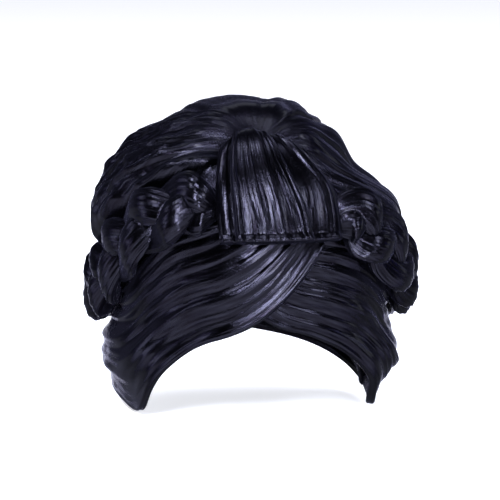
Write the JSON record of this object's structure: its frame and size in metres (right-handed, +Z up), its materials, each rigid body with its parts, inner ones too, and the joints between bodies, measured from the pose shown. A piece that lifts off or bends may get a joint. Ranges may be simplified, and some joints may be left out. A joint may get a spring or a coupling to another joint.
{
  "type": "turban headwrap",
  "caption": "Turban headwrap of glossy pleated cloth: a puffed crown, crossed front bands, a braided side roll and a knotted front tab, open and hollow below.",
  "frame": {"origin": "middle of the head opening, level with the peak of the front hem, where the wrap sits on the wearer's head", "axes": "+Z up the wearer's head, the front with its tab towards -Y, +X towards the right as seen from the front"},
  "size_m": [0.2218, 0.2449, 0.2038],
  "materials": {
    "coated_cloth": "glossy black foil-coated pleated knit"
  },
  "bodies": {
    "root": {"crown": "coated_cloth", "under_wrap": "coated_cloth", "over_wrap": "coated_cloth", "braid_strand_1": "coated_cloth", "braid_strand_2": "coated_cloth", "braid_strand_3": "coated_cloth", "tab_back_panel": "coated_cloth", "tab_front_panel": "coated_cloth"}
  },
  "joints": []
}
